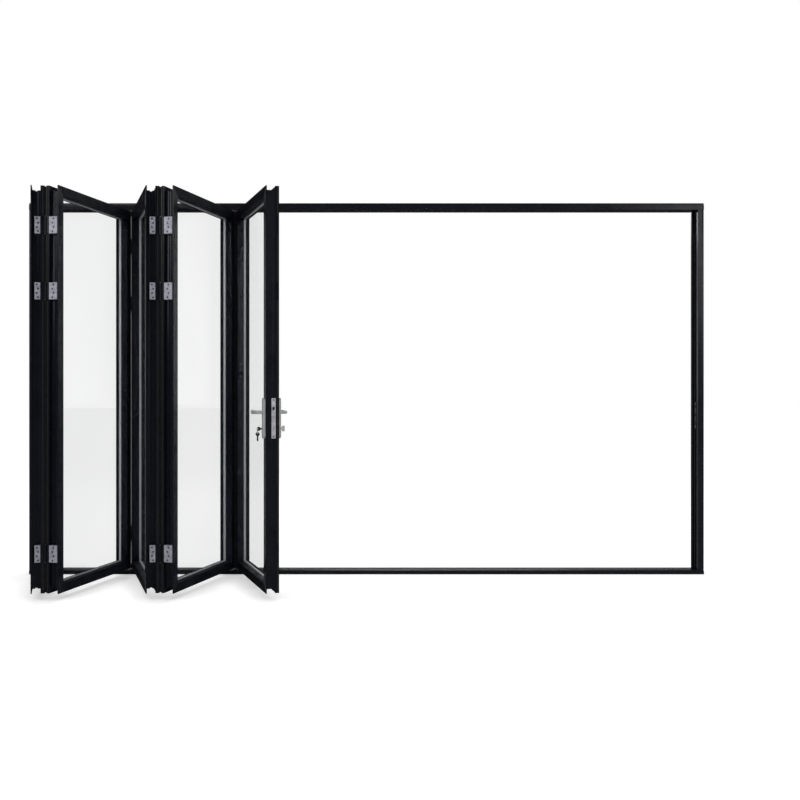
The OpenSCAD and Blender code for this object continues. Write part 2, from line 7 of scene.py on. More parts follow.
import bmesh
import bpy
import numpy as np
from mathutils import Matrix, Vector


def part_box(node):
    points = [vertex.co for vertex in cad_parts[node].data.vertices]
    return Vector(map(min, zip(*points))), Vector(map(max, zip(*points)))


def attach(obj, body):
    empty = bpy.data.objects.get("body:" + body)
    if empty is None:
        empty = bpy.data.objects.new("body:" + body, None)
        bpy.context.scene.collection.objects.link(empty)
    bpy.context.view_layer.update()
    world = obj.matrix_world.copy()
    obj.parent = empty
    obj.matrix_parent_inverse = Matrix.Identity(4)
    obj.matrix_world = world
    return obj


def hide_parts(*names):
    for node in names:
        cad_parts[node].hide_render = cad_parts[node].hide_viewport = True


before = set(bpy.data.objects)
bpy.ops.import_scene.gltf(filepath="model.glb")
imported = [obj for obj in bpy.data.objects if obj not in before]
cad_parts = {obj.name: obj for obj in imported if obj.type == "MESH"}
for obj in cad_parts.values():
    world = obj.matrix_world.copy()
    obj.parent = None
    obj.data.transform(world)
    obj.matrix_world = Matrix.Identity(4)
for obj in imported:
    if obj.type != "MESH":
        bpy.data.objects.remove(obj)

LOG = logging.getLogger("patio_door")
MM = 0.001
UP = np.array([0.0, 0.0, 1.0])
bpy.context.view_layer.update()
LEAF_COUNT = 5
SMOOTH_UNDER = math.radians(38)

Colour = tuple[float, float, float]


class Body(Enum):
    """The moving and fixed bodies that pieces ride on."""

    FRAME = "frame"
    LEVERS = "lever_set"
    LATCH = "latch"


class Slot(Enum):
    """The record's material slots."""

    FRAME_COAT = "frame_coat"
    LEAF_COAT = "leaf_coat"
    GLASS = "glass"
    SPACER = "spacer"
    RUBBER = "rubber"
    BRIGHT = "bright_metal"
    SATIN = "satin_metal"
    STEEL = "steel"
    DARK_STEEL = "dark_steel"
    NYLON = "nylon"
    BRASS = "brass"


class Recipe:
    """One material: a Principled shader and the nodes that vary it over the surface."""

    def __init__(self, name: str) -> None:
        """Starts the material.

        Args:
            name: The material's name.
        """
        self.material = bpy.data.materials.new(name)
        self.material.use_nodes = True
        self.tree = self.material.node_tree
        self.shader = self.tree.nodes["Principled BSDF"]
        self.output = self.tree.nodes["Material Output"]
        self.place = self.node("ShaderNodeTexCoord").outputs["Object"]

    def node(self, kind: str, **settings: object) -> bpy.types.Node:
        """Adds a node and sets its properties.

        Args:
            kind: Blender's name of the node type.
            settings: Properties of the node and their values.

        Returns:
            The new node.
        """
        made = self.tree.nodes.new(kind)
        for key, value in settings.items():
            setattr(made, key, value)
        return made

    def link(self, source: bpy.types.NodeSocket, target: bpy.types.NodeSocket) -> None:
        """Links an output to an input."""
        self.tree.links.new(source, target)

    def set(self, **values: object) -> None:
        """Sets fixed numbers and colours on the shader's own sockets, spaces written as underscores."""
        for key, value in values.items():
            self.shader.inputs[key.replace("_", " ")].default_value = value

    def noise(
        self, scale: float, detail: float = 2.0, stretch: Sequence[float] = (1.0, 1.0, 1.0)
    ) -> bpy.types.NodeSocket:
        """Noise in the object's own metres.

        Args:
            scale: Features for each metre.
            detail: Octaves of finer noise.
            stretch: Factors on x, y and z, below 1 for grain that runs along that axis.

        Returns:
            The noise value, from 0 to 1.
        """
        turned = self.node("ShaderNodeMapping")
        turned.inputs["Scale"].default_value = tuple(stretch)
        self.link(self.place, turned.inputs["Vector"])
        cloud = self.node("ShaderNodeTexNoise")
        cloud.inputs["Scale"].default_value = scale
        cloud.inputs["Detail"].default_value = detail
        self.link(turned.outputs["Vector"], cloud.inputs["Vector"])
        return cloud.outputs["Fac"]

    def spread(
        self, source: bpy.types.NodeSocket, low: float, high: float,
        start: float = 0.35, stop: float = 0.65,
    ) -> bpy.types.NodeSocket:
        """Stretches a value between start and stop over low to high.

        Args:
            source: The value to stretch.
            low: Result at start.
            high: Result at stop.
            start: Source value that gives low.
            stop: Source value that gives high.

        Returns:
            The stretched value.
        """
        ranged = self.node("ShaderNodeMapRange", clamp=True)
        for key, value in zip(("From Min", "From Max", "To Min", "To Max"), (start, stop, low, high)):
            ranged.inputs[key].default_value = value
        self.link(source, ranged.inputs["Value"])
        return ranged.outputs["Result"]

    def tint(self, source: bpy.types.NodeSocket, dark: Colour, pale: Colour) -> None:
        """Colours the surface between two colours by a value from 0 to 1.

        Args:
            source: The value.
            dark: Colour at 0.
            pale: Colour at 1.
        """
        ramp = self.node("ShaderNodeValToRGB")
        ramp.color_ramp.elements[0].color = (*dark, 1.0)
        ramp.color_ramp.elements[1].color = (*pale, 1.0)
        self.link(source, ramp.inputs["Fac"])
        self.link(ramp.outputs["Color"], self.shader.inputs["Base Color"])

    def roughen(self, source: bpy.types.NodeSocket, low: float, high: float) -> None:
        """Varies the roughness from low to high by a noise value."""
        self.link(self.spread(source, low, high), self.shader.inputs["Roughness"])

    def bump(self, height: bpy.types.NodeSocket, depth: float, strength: float = 1.0) -> None:
        """Raises the surface by a height value, on top of any bump that is there.

        Args:
            height: The height, from 0 to 1.
            depth: Metres between 0 and 1.
            strength: Share of the slope that shows.
        """
        relief = self.node("ShaderNodeBump")
        relief.inputs["Distance"].default_value = depth
        relief.inputs["Strength"].default_value = strength
        self.link(height, relief.inputs["Height"])
        normal = self.shader.inputs["Normal"]
        if normal.is_linked:
            self.link(normal.links[0].from_socket, relief.inputs["Normal"])
        self.link(relief.outputs["Normal"], normal)


@dataclass(frozen=True)
class PowderCoat:
    """Baked powder coat: a navy black film with fine orange peel, an even shine and a little dust."""

    name: str
    slot: Slot
    dark: Colour
    pale: Colour
    shine: float = 0.20
    smooth: float = 0.20
    rough: float = 0.27
    peel_scale: float = 900.0
    peel_depth: float = 0.000012

    def material(self) -> bpy.types.Material:
        """Builds the material."""
        recipe = Recipe(self.name)
        recipe.tint(recipe.spread(recipe.noise(9.0, 4.0), 0.0, 1.0), self.dark, self.pale)
        recipe.roughen(recipe.noise(14.0, 4.0), self.smooth, self.rough)
        recipe.bump(recipe.noise(self.peel_scale, 2.0), self.peel_depth, 0.5)
        recipe.set(Specular_IOR_Level=self.shine)
        return recipe.material


@dataclass(frozen=True)
class BlastedMetal:
    """Cast or pressed alloy with a bead-blasted face: fine pits, dull patches, a metallic colour."""

    name: str
    slot: Slot
    dark: Colour
    pale: Colour
    smooth: float = 0.34
    rough: float = 0.50
    metal: float = 1.0
    pit_scale: float = 2200.0
    pit_depth: float = 0.00004

    def material(self) -> bpy.types.Material:
        """Builds the material."""
        recipe = Recipe(self.name)
        recipe.tint(recipe.spread(recipe.noise(60.0, 5.0), 0.0, 1.0), self.dark, self.pale)
        recipe.roughen(recipe.noise(150.0, 4.0), self.smooth, self.rough)
        recipe.bump(recipe.noise(self.pit_scale, 2.0), self.pit_depth, 0.6)
        recipe.set(Metallic=self.metal)
        return recipe.material


@dataclass(frozen=True)
class BrushedMetal:
    """Steel with a satin grain along one axis."""

    name: str
    slot: Slot
    dark: Colour
    pale: Colour
    smooth: float = 0.22
    rough: float = 0.36
    metal: float = 1.0
    grain_scale: float = 1800.0
    grain_depth: float = 0.00002
    stretch: tuple[float, float, float] = (1.0, 1.0, 0.03)

    def material(self) -> bpy.types.Material:
        """Builds the material."""
        recipe = Recipe(self.name)
        grain = recipe.noise(self.grain_scale, 3.0, self.stretch)
        recipe.tint(recipe.spread(grain, 0.0, 1.0), self.dark, self.pale)
        recipe.roughen(recipe.noise(80.0, 4.0), self.smooth, self.rough)
        recipe.bump(grain, self.grain_depth, 0.5)
        recipe.set(Metallic=self.metal)
        return recipe.material


@dataclass(frozen=True)
class ClearGlass:
    """Clear glass that lets lamps through: no bend of the view, a thin mirror coat, a filmed tint."""

    name: str
    slot: Slot
    clean: Colour
    filmed: Colour
    mirror: float = 0.12
    mirror_ior: float = 1.5

    def material(self) -> bpy.types.Material:
        """Builds the material."""
        recipe = Recipe(self.name)
        recipe.tint(recipe.spread(recipe.noise(1.1, 2.0, (1.0, 1.0, 0.5)), 0.0, 1.0), self.clean, self.filmed)
        recipe.set(Transmission_Weight=1.0, IOR=1.0, Roughness=0.0)
        recipe.set(Coat_Weight=self.mirror, Coat_IOR=self.mirror_ior, Coat_Roughness=0.0)
        clear = recipe.node("ShaderNodeBsdfTransparent")
        mixed = recipe.node("ShaderNodeMixShader")
        recipe.link(recipe.node("ShaderNodeLightPath").outputs["Is Shadow Ray"], mixed.inputs["Fac"])
        recipe.link(recipe.shader.outputs["BSDF"], mixed.inputs[1])
        recipe.link(clear.outputs["BSDF"], mixed.inputs[2])
        recipe.link(mixed.outputs["Shader"], recipe.output.inputs["Surface"])
        return recipe.material


@dataclass(frozen=True)
class SoftPolymer:
    """Rubber, nylon or pile: a dull mass with fine grain, speckled or streaked along one axis."""

    name: str
    slot: Slot
    dark: Colour
    pale: Colour
    roughness: tuple[float, float] = (0.55, 0.75)
    grain_scale: float = 900.0
    grain_depth: float = 0.00008
    stretch: tuple[float, float, float] = (1.0, 1.0, 1.0)
    shine: float = 0.25

    def material(self) -> bpy.types.Material:
        """Builds the material."""
        recipe = Recipe(self.name)
        grain = recipe.noise(self.grain_scale, 3.0, self.stretch)
        recipe.tint(recipe.spread(grain, 0.0, 1.0), self.dark, self.pale)
        recipe.roughen(recipe.noise(40.0, 3.0), *self.roughness)
        recipe.bump(grain, self.grain_depth, 0.6)
        recipe.set(Specular_IOR_Level=self.shine)
        return recipe.material


FRAME_COAT = PowderCoat(
    "frame_powder_coat", Slot.FRAME_COAT, (0.0060, 0.0066, 0.0100), (0.0086, 0.0092, 0.0138),
)
LEAF_COAT = PowderCoat(
    "leaf_powder_coat", Slot.LEAF_COAT, (0.0036, 0.0044, 0.0076), (0.0055, 0.0064, 0.0108),
)
RAIL_COAT = PowderCoat(
    "rail_powder_coat", Slot.LEAF_COAT, (0.0036, 0.0044, 0.0076), (0.0055, 0.0064, 0.0108),
    0.05, 0.55, 0.70,
)
GLASS = ClearGlass("float_glass", Slot.GLASS, (0.955, 0.957, 0.956), (0.935, 0.939, 0.937))
SPACER = BrushedMetal("spacer_alloy", Slot.SPACER, (0.24, 0.25, 0.27), (0.36, 0.37, 0.39), 0.4, 0.55, 0.3)
RUBBER = SoftPolymer("seal_rubber", Slot.RUBBER, (0.006, 0.006, 0.007), (0.013, 0.013, 0.014))
PILE = SoftPolymer(
    "pile_bristle", Slot.RUBBER, (0.010, 0.010, 0.012), (0.040, 0.041, 0.044),
    (0.8, 0.95), 1500.0, 0.0005, (1.0, 1.0, 0.05), 0.1,
)
BRIGHT = BlastedMetal("hinge_alloy", Slot.BRIGHT, (0.26, 0.26, 0.31), (0.40, 0.40, 0.46), 0.42, 0.55, 0.35)
FACEPLATE = BlastedMetal("faceplate_alloy", Slot.BRIGHT, (0.40, 0.40, 0.42), (0.58, 0.58, 0.61), 0.42, 0.55, 0.35)
SATIN = BrushedMetal("satin_handle_metal", Slot.SATIN, (0.42, 0.43, 0.44), (0.56, 0.57, 0.58), 0.28, 0.42, 0.5)
STEEL = BrushedMetal("plain_steel", Slot.STEEL, (0.33, 0.34, 0.36), (0.46, 0.47, 0.49))
DARK_STEEL = BlastedMetal("dark_zinc", Slot.DARK_STEEL, (0.045, 0.047, 0.053), (0.085, 0.088, 0.096), 0.3, 0.45)
NYLON = SoftPolymer("wheel_nylon", Slot.NYLON, (0.60, 0.59, 0.54), (0.70, 0.69, 0.64), (0.35, 0.5))
BRASS = BrushedMetal("nickelled_brass", Slot.BRASS, (0.50, 0.49, 0.46), (0.66, 0.65, 0.62), 0.25, 0.4, 0.4)

Finish = PowderCoat | BlastedMetal | BrushedMetal | ClearGlass | SoftPolymer


class FinishStore:
    """Builds each finish's material once."""

    def __init__(self) -> None:
        """Starts with no material."""
        self.made: dict[str, bpy.types.Material] = {}

    def material(self, finish: Finish) -> bpy.types.Material:
        """Returns the finish's material, built on first use."""
        if finish.name not in self.made:
            self.made[finish.name] = finish.material()
        return self.made[finish.name]


STORE = FinishStore()


@dataclass(frozen=True)
class Place:
    """A local frame: an origin and three unit axes, all in the door's frame."""

    origin: np.ndarray
    axes: np.ndarray

    def at(self, points: np.ndarray) -> np.ndarray:
        """Turns local points into the door's frame: origin plus the points' shares of each axis."""
        return self.origin + np.asarray(points, float) @ self.axes

    def facing(self, point: Sequence[float], outward: Sequence[float], upward: Sequence[float]) -> "Place":
        """A frame on a surface, with its third axis out of the surface.

        Args:
            point: Its origin, in this frame.
            outward: The direction out of the surface, in this frame.
            upward: The direction of its second axis, in this frame.

        Returns:
            The new frame.
        """
        out = np.asarray(outward, float) @ self.axes
        up = np.asarray(upward, float) @ self.axes
        return Place(self.at(point), np.stack([np.cross(up, out), up, out]))


WORLD = Place(np.zeros(3), np.eye(3))


def node_points(node: str) -> np.ndarray:
    """The different vertices of a CAD node, to a hundredth of a millimetre."""
    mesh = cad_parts[node].data
    flat = np.empty(len(mesh.vertices) * 3)
    mesh.vertices.foreach_get("co", flat)
    return np.unique(np.round(flat.reshape(-1, 3), 5), axis=0)


def grid_quads(rows: int, columns: int, closed: bool) -> np.ndarray:
    """Quads of a grid whose points are stored row by row.

    Args:
        rows: Number of rows.
        columns: Number of points in a row.
        closed: Whether the last point of a row meets the first.

    Returns:
        Four point numbers for each quad.
    """
    row = np.arange(rows - 1)[:, None] * columns
    column = np.arange(columns if closed else columns - 1)[None, :]
    after = (column + 1) % columns
    corners = [row + column, row + after, row + columns + after, row + columns + column]
    return np.stack(corners, axis=-1).reshape(-1, 4)


class Stock:
    """Surfaces gathered for one mesh."""

    def __init__(self) -> None:
        """Starts empty."""
        self.points: list[np.ndarray] = []
        self.faces: list[list[int]] = []
        self.count = 0

    def rings(self, grid: np.ndarray) -> None:
        """Adds a closed shell from rings of points, capped at its first and last ring.

        Args:
            grid: Points as rings by points of a ring by 3.
        """
        rings, sides = grid.shape[:2]
        self.faces += (grid_quads(rings, sides, True) + self.count).tolist()
        self.faces.append((np.arange(sides)[::-1] + self.count).tolist())
        self.faces.append((np.arange(sides) + self.count + (rings - 1) * sides).tolist())
        self.points.append(grid.reshape(-1, 3))
        self.count += rings * sides

    def bar(self, place: Place, outline: np.ndarray, start: float, stop: float) -> None:
        """Adds a straight bar: an outline in the first two axes carried along the third.

        Args:
            place: The bar's frame.
            outline: Corners of the section, one row each.
            start: Where it starts along the third axis.
            stop: Where it ends.
        """
        level = np.full((2, len(outline), 1), 0.0)
        level[0], level[1] = start, stop
        section = np.broadcast_to(outline, (2, *outline.shape))
        self.rings(place.at(np.concatenate([section, level], axis=-1)))

    def lathe(self, place: Place, profile: np.ndarray, sides: int, hexagons: Sequence[int] = ()) -> None:
        """Adds a turned shape: each profile row is a ring of that radius at that height.

        Args:
            place: Its frame, with the turning axis along the third axis.
            profile: Rows of radius and height.
            sides: Points in a ring.
            hexagons: Rows whose ring is a hexagon, radius times cos 30 over the cosine to its flat.
        """
        angle = np.linspace(0.0, 2 * math.pi, sides, endpoint=False)[None, :]
        radius = np.repeat(profile[:, :1], sides, axis=1)
        flat = np.mod(angle, math.pi / 3) - math.pi / 6
        for row in hexagons:
            radius[row] *= (math.cos(math.pi / 6) / np.cos(flat))[0]
        height = np.repeat(profile[:, 1:], sides, axis=1)
        self.rings(place.at(np.stack([radius * np.cos(angle), radius * np.sin(angle), height], axis=-1)))

    def tube(self, path: np.ndarray, across: np.ndarray, radii: np.ndarray, sides: int) -> None:
        """Adds a tube of oval rings: centre plus a cosine along one axis and a sine along the other.

        Args:
            path: Centres of the rings.
            across: The first axis of each ring, square to the path.
            radii: Both radii of each ring.
            sides: Points in a ring.
        """
        ahead = np.gradient(path, axis=0)
        ahead /= np.linalg.norm(ahead, axis=1, keepdims=True)
        other = np.cross(ahead, across)
        angle = np.linspace(0.0, 2 * math.pi, sides, endpoint=False)[None, :, None]
        first = across[:, None, :] * radii[:, None, :1] * np.cos(angle)
        second = other[:, None, :] * radii[:, None, 1:] * np.sin(angle)
        self.rings(path[:, None, :] + first + second)

    def build(self, name: str) -> bpy.types.Object:
        """Makes the object, with faces that point outwards and smooth rounds.

        Args:
            name: The object's name.

        Returns:
            The object, at the origin.
        """
        mesh = bpy.data.meshes.new(name)
        mesh.from_pydata(np.concatenate(self.points), [], self.faces)
        shell = bmesh.new()
        shell.from_mesh(mesh)
        bmesh.ops.recalc_face_normals(shell, faces=shell.faces)
        shell.to_mesh(mesh)
        shell.free()
        return link_object(name, mesh)


def link_object(name: str, mesh: bpy.types.Mesh) -> bpy.types.Object:
    """Shades a mesh smooth under SMOOTH_UNDER and puts it into the scene.

    Args:
        name: The object's name.
        mesh: Its mesh.

    Returns:
        The new object.
    """
    mesh.polygons.foreach_set("use_smooth", np.ones(len(mesh.polygons), bool))
    mesh.set_sharp_from_angle(angle=SMOOTH_UNDER)
    made = bpy.data.objects.new(name, mesh)
    bpy.context.scene.collection.objects.link(made)
    return made


def dress(piece: bpy.types.Object, finish: Finish, body: Body | None = None) -> None:
    """Gives a piece its finish, and a new piece its body.

    Args:
        piece: The object.
        finish: Its finish.
        body: The body that it rides on, or None for a CAD node.
    """
    piece.data.materials.clear()
    piece.data.materials.append(STORE.material(finish))
    if body is not None:
        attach(piece, body.value)
    LOG.info("%s: %s, %d faces", piece.name, finish.name, len(piece.data.polygons))


def dress_node(node: str, finish: Finish) -> None:
    """Gives a CAD node its finish, in the material slots that it has."""
    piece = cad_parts[node]
    for place in piece.material_slots:
        place.material = STORE.material(finish)
    if not piece.material_slots:
        piece.data.materials.append(STORE.material(finish))
    LOG.info("%s: %s", node, finish.name)


def eased(node: str, finish: Finish, ease: float, body: Body = Body.FRAME, steps: int = 2) -> bpy.types.Object:
    """Shows a CAD node as a copy with eased edges: merged, flat faces joined, then a live bevel.

    Args:
        node: The CAD node.
        finish: Its finish.
        ease: Width of the bevel, in metres.
        body: The body that it rides on.
        steps: Faces across the bevel.

    Returns:
        The copy.
    """
    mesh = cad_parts[node].data.copy()
    mesh.materials.clear()
    shell = bmesh.new()
    shell.from_mesh(mesh)
    bmesh.ops.remove_doubles(shell, verts=shell.verts, dist=0.00001)
    bmesh.ops.dissolve_limit(
        shell, angle_limit=math.radians(0.5), verts=shell.verts, edges=shell.edges, use_dissolve_boundaries=False,
    )
    shell.to_mesh(mesh)
    shell.free()
    copy = link_object(f"{node}_eased", mesh)
    edge = copy.modifiers.new("eased_edges", "BEVEL")
    edge.width = ease
    edge.segments = steps
    edge.limit_method = "ANGLE"
    edge.angle_limit = math.radians(40)
    edge.harden_normals = True
    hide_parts(node)
    dress(copy, finish, body)
    return copy


def half_round(width: float, height: float, steps: int = 10) -> np.ndarray:
    """A seal's section: a flat base and a half ellipse over it.

    Args:
        width: Width of the base.
        height: Height of the crown.
        steps: Points of the half ellipse.

    Returns:
        Its outline, one row a point.
    """
    angle = np.linspace(0.0, math.pi, steps)
    return np.stack([width / 2 * np.cos(angle), height * np.sin(angle)], axis=-1)


def oblong(width: float, height: float) -> np.ndarray:
    """A rectangle round the origin, as four corners."""
    return np.array([[-1, -1], [1, -1], [1, 1], [-1, 1]]) * (width / 2, height / 2)


@dataclass(frozen=True)
class Screw:
    """A low-headed screw with a hexagon socket, drawn above the surface that it holds down."""

    radius: float = 4.6 * MM
    height: float = 1.2 * MM
    socket: float = 2.3 * MM
    floor: float = 0.15 * MM
    sides: int = 24

    def add(self, stock: Stock, place: Place) -> None:
        """Adds one: a turned head whose last two rings are the socket's hexagon.

        Args:
            stock: The mesh that it joins.
            place: A frame on the surface.
        """
        rim = self.radius * 0.9
        profile = np.array([
            [self.radius, 0.0], [self.radius, self.height * 0.5], [rim, self.height],
            [self.socket * 1.15, self.height], [self.socket, self.height * 0.9], [self.socket, self.floor],
        ])
        stock.lathe(place, profile, self.sides, (4, 5))


@dataclass
class LeafSpot:
    """Where one leaf stands and how large it is, read from its CAD nodes."""

    number: int
    place: Place = field(init=False)
    width: float = field(init=False)
    thickness: float = field(init=False)
    height: float = field(init=False)

    def __post_init__(self) -> None:
        """Takes the leaf's direction from the longest spread of its panes, and its corner from its stiles."""
        pane = node_points(f"leaf_{self.number}_panes")[:, :2]
        plan = pane - pane.mean(axis=0)
        along = np.linalg.eigh(plan.T @ plan)[1][:, 1]
        runs_out = self.number % 2 == 1
        along *= np.sign(along[1]) * (-1 if runs_out else 1)
        inward = np.array([-along[1], along[0]])
        stile = node_points(f"leaf_{self.number}_stiles")
        shares = stile[:, :2] @ np.stack([along, inward]).T
        low, high = shares.min(axis=0), shares.max(axis=0)
        base = low[0] * along + low[1] * inward
        self.width, self.thickness = high - low
        self.height = float(np.ptp(stile[:, 2]))
        axes = np.array([[*along, 0.0], [*inward, 0.0], UP])
        self.place = Place(np.array([*base, stile[:, 2].min()]), axes)

    def edge(self, right: bool, inward: float, height: float, proud: float = 0.0) -> Place:
        """A frame on the leaf's left or right edge, its third axis out of the edge.

        Args:
            right: Whether it is the right edge.
            inward: Distance from the outdoor face.
            height: Height above the leaf's bottom.
            proud: Distance out of the edge.

        Returns:
            The frame.
        """
        out = 1.0 if right else -1.0
        start = self.width + proud if right else -proud
        return self.place.facing((start, inward, height), (out, 0.0, 0.0), (0.0, 0.0, 1.0))

    def upright(self, right: bool, inward: float) -> Place:
        """A frame at the foot of an edge, its third axis up and its second axis out of the edge."""
        out = 1.0 if right else -1.0
        start = self.width if right else 0.0
        return self.place.facing((start, inward, 0.0), (0.0, 0.0, 1.0), (out, 0.0, 0.0))

    def local(self, point: Sequence[float]) -> np.ndarray:
        """A point of the door's frame in the leaf's own frame."""
        return (np.asarray(point) - self.place.origin) @ self.place.axes.T


@dataclass
class GlassLeaf:
    """One glazed leaf: mitred stiles and rails, two panes, beads and the rubber seals of its edges."""

    spot: LeafSpot
    hinge_levels: np.ndarray
    ease: float = 0.7 * MM
    seal_inward: float = 62 * MM
    seal_width: float = 8 * MM
    seal_height: float = 4 * MM
    seal_gap: float = 4 * MM
    bulb_in: float = 5 * MM
    bulb_width: float = 7 * MM
    pivot_along: float = 6 * MM
    pivot_out: float = 2 * MM
    bulb_spare: float = 0.1 * MM
    parted_spare: float = 0.4 * MM

    def build(self) -> None:
        """Dresses the leaf's nodes and adds its seals."""
        name = f"leaf_{self.spot.number}"
        eased(f"{name}_stiles", LEAF_COAT, self.ease)
        eased(f"{name}_rails", RAIL_COAT, self.ease)
        eased(f"{name}_beads", RAIL_COAT, self.ease)
        dress_node(f"{name}_panes", GLASS)
        dress(self.edge_seals(f"{name}_edge_seals"), RUBBER, Body.FRAME)
        dress(self.stacking_bulbs(f"{name}_stacking_bulbs"), RUBBER, Body.FRAME)

    def edge_seals(self, name: str) -> bpy.types.Object:
        """Half-round seals up both edges, in lengths that stop short of each hinge.

        Args:
            name: The piece's name.

        Returns:
            The piece.
        """
        stock = Stock()
        section = half_round(self.seal_width, self.seal_height)
        foot = self.spot.place.origin[2]
        stops = np.concatenate([[0.0], self.hinge_levels - foot, [self.spot.height]]).reshape(-1, 2)
        for right in (False, True):
            for low, high in stops:
                place = self.spot.upright(right, self.seal_inward)
                stock.bar(place, section, low + self.seal_gap, high - self.seal_gap)
        return stock.build(name)

    def stacking_bulbs(self, name: str) -> bpy.types.Object:
        """Rubbers that keep folded leaves apart, beside their barrels.

        One is on the indoor face by the joint that folds inwards, one on the outdoor face by the
        joint that folds outwards. An edge at a jamb has none. Leaves 2 and 3 stand a little parted.

        Args:
            name: The piece's name.

        Returns:
            The piece.
        """
        stock = Stock()
        number, width = self.spot.number, self.spot.width
        even = number % 2 == 0
        if number < LEAF_COUNT:
            along = self.bulb_in if even else width - self.bulb_in
            place = self.spot.place.facing((along, self.spot.thickness, 0.0), (0, 0, 1), (0, 1, 0))
            self.add_bulb(stock, place, self.bulb_spare)
        if number > 1:
            along = width - self.bulb_in if even else self.bulb_in
            place = self.spot.place.facing((along, 0.0, 0.0), (0, 0, 1), (0, -1, 0))
            self.add_bulb(stock, place, self.parted_spare if number in (2, 3) else self.bulb_spare)
        return stock.build(name)

    def add_bulb(self, stock: Stock, place: Place, spare: float) -> None:
        """Adds one half-round up the leaf, as high as the way to the joint's middle less the spare.

        The way grows from the pivot's distance off the face by the tangent of the leaf's fold
        times the distance from the pivot along the leaf.

        Args:
            stock: The mesh that it joins.
            place: A frame at its foot, its third axis up.
            spare: What stays free.
        """
        along = self.spot.place.axes[0]
        rise = (self.pivot_along + self.bulb_in) * abs(along[0] / along[1])
        section = half_round(self.bulb_width, rise + self.pivot_out - spare)
        stock.bar(place, section, self.seal_gap, self.spot.height - self.seal_gap)


@dataclass
class OuterFrame:
    """The fixed frame: head with its track, sill with its groove, two jambs and the strike plate."""

    ease: float = 0.8 * MM
    stop_seal_width: float = 7 * MM
    stop_seal_height: float = 6 * MM
    stop_seal_in: float = 5 * MM
    pile_thickness: float = 5 * MM
    pile_drop: float = 6 * MM
    pile_from_middle: float = 15 * MM
    carrier_room: float = 14 * MM
    screw: Screw = Screw()
    screw_in: float = 11 * MM

    def build(self) -> None:
        """Dresses the frame and adds its seals and the strike's screws."""
        for node in ("frame_head", "frame_sill", "frame_jamb_left", "frame_jamb_right"):
            eased(node, FRAME_COAT, self.ease)
        eased("strike_plate", DARK_STEEL, 0.4 * MM)
        dress(self.stop_seals(), RUBBER, Body.FRAME)
        dress(self.track_pile(), PILE, Body.FRAME)
        dress(self.strike_screws(), STEEL, Body.FRAME)

    def stop_seals(self) -> bpy.types.Object:
        """A low seal up each jamb's stop, on the side that the leaves close against."""
        stock = Stock()
        section = half_round(self.stop_seal_width, self.stop_seal_height)
        for node, side in (("frame_jamb_left", 1), ("frame_jamb_right", -1)):
            points = node_points(node)
            inner = points[:, 0].max() if side > 0 else points[:, 0].min()
            face = points[np.isclose(points[:, 0], inner, atol=1e-4)][:, 1].min()
            foot, top = points[:, 2].min(), points[:, 2].max()
            place = WORLD.facing((inner - side * self.stop_seal_in, face, 0.0), (0, 0, 1), (0, -1, 0))
            stock.bar(place, section, foot, top)
        return stock.build("jamb_stop_seals")

    def track_pile(self) -> bpy.types.Object:
        """Bristle strips along both sides of the track's slot, parted where the carriers' arms pass."""
        stock = Stock()
        low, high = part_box("frame_head")
        carriers = node_points("track_carriers")
        reach = carriers[carriers[:, 1] < low[1]]
        middles = np.unique(np.round(reach[:, 0], 2))
        left = reach[reach[:, 0] < middles.mean()][:, 0]
        right = reach[reach[:, 0] > middles.mean()][:, 0]
        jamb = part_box("frame_jamb_left")[1][0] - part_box("frame_jamb_left")[0][0]
        stops = [low[0] + jamb, left.min(), left.max(), right.min(), right.max(), high[0] - jamb]
        section = oblong(self.pile_thickness, self.pile_drop)
        for side in (-1, 1):
            middle = (0.0, side * self.pile_from_middle, low[2] - self.pile_drop / 2)
            place = WORLD.facing(middle, (1, 0, 0), (0, 0, 1))
            for start, stop in np.array(stops).reshape(-1, 2):
                stock.bar(place, section, start + self.carrier_room, stop - self.carrier_room)
        return stock.build("track_pile_strips")

    def strike_screws(self) -> bpy.types.Object:
        """Two screws through the strike plate into the jamb."""
        stock = Stock()
        low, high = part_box("strike_plate")
        for height in (low[2] + self.screw_in, high[2] - self.screw_in):
            middle = (low[0], (low[1] + high[1]) / 2, height)
            self.screw.add(stock, WORLD.facing(middle, (-1, 0, 0), (0, 0, 1)))
        return stock.build("strike_screws")


@dataclass
class HingeSet:
    """The hinges: bright blocks in the leaves' edges, dark arms and barrels, pins and block screws."""

    spots: Sequence[LeafSpot]
    levels: np.ndarray
    ease: float = 0.6 * MM
    left_inward: float = 30 * MM
    right_inward: float = 34 * MM
    block_proud: float = 3.5 * MM
    screw: Screw = Screw(radius=5 * MM, height=1.4 * MM, socket=2.6 * MM)
    screw_offsets: tuple[tuple[float, float], ...] = (
        (-3 * MM, 33 * MM), (3 * MM, 11 * MM), (-3 * MM, -11 * MM), (3 * MM, -33 * MM),
    )

    def build(self) -> None:
        """Dresses the hinges and adds the screws."""
        eased("hinge_plates", BRIGHT, self.ease)
        eased("hinge_arms_outer", LEAF_COAT, self.ease)
        eased("hinge_arms_middle", LEAF_COAT, self.ease)
        eased("hinge_pins", STEEL, self.ease)
        dress(self.block_screws(), DARK_STEEL, Body.FRAME)

    def block_screws(self) -> bpy.types.Object:
        """Four screws on each block, on every edge that carries hinges."""
        stock = Stock()
        edges = [(spot, right) for spot in self.spots for right in (False, True)]
        hinged = [(spot, right) for spot, right in edges if not (right and spot.number == LEAF_COUNT)]
        middles = self.levels.reshape(-1, 2).mean(axis=1)
        for spot, right in hinged:
            inward = self.right_inward if right else self.left_inward
            for middle in middles - spot.place.origin[2]:
                for across, up in self.screw_offsets:
                    place = spot.edge(right, inward + across, middle + up, self.block_proud)
                    self.screw.add(stock, place)
        return stock.build("hinge_block_screws")


